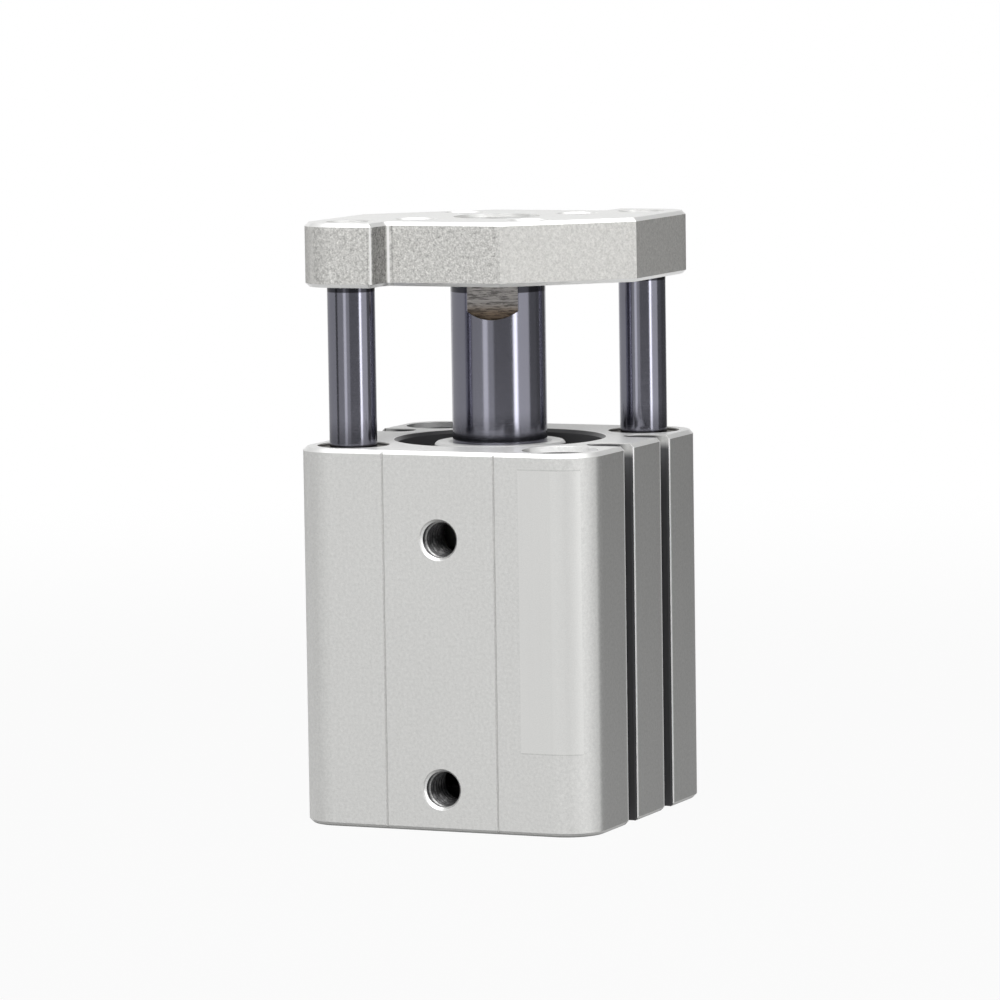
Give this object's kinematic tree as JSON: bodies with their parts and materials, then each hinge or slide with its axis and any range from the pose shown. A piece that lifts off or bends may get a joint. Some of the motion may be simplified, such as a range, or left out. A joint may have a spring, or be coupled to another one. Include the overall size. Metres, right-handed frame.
{
  "type": "guided pneumatic cylinder",
  "caption": "Compact square-bodied air cylinder whose piston rod and guide rods push a load plate without letting it turn.",
  "frame": {"origin": "centre of the body's base face, on the piston rod's axis", "axes": "+Z along the rods from the body to the load plate, -Y out of the port face"},
  "size_m": [0.04, 0.04, 0.0755],
  "materials": {
    "body_anodised": "bead-blasted and clear anodised",
    "plate_anodised": "bead-blasted and clear anodised",
    "cover_aluminium": "turned",
    "rod_chrome": "hard chromed and ground",
    "bush_bronze": "sintered",
    "seal_rubber": "moulded",
    "wear_plastic": "moulded",
    "magnet_black": "bonded magnet",
    "ring_steel": "phosphated spring steel",
    "screw_steel": "zinc plated"
  },
  "bodies": {
    "barrel": {"cylinder_body": "body_anodised", "rod_cover": "cover_aluminium", "rod_cover_o_ring": "seal_rubber", "rod_bush": "bush_bronze", "rod_seal": "seal_rubber", "retaining_ring": "ring_steel", "guide_bush_front_upper": "bush_bronze", "guide_bush_front_lower": "bush_bronze", "guide_bush_rear_upper": "bush_bronze", "guide_bush_rear_lower": "bush_bronze"},
    "carriage": {"load_plate": "plate_anodised", "plate_screw": "screw_steel", "guide_rod_screws": "screw_steel", "piston_rod": "rod_chrome", "piston": "cover_aluminium", "piston_screw": "screw_steel", "piston_seal": "seal_rubber", "piston_o_ring": "seal_rubber", "wear_ring": "wear_plastic", "magnet": "magnet_black", "magnet_washer": "cover_aluminium", "front_bumper": "seal_rubber", "rear_bumper": "seal_rubber", "guide_rod_front": "rod_chrome", "guide_rod_rear": "rod_chrome"}
  },
  "joints": [
    {"name": "rod_stroke", "type": "slide", "parent": "barrel", "child": "carriage", "axis": [0, 0, 1], "range_m": [-0.015, 0]}
  ]
}
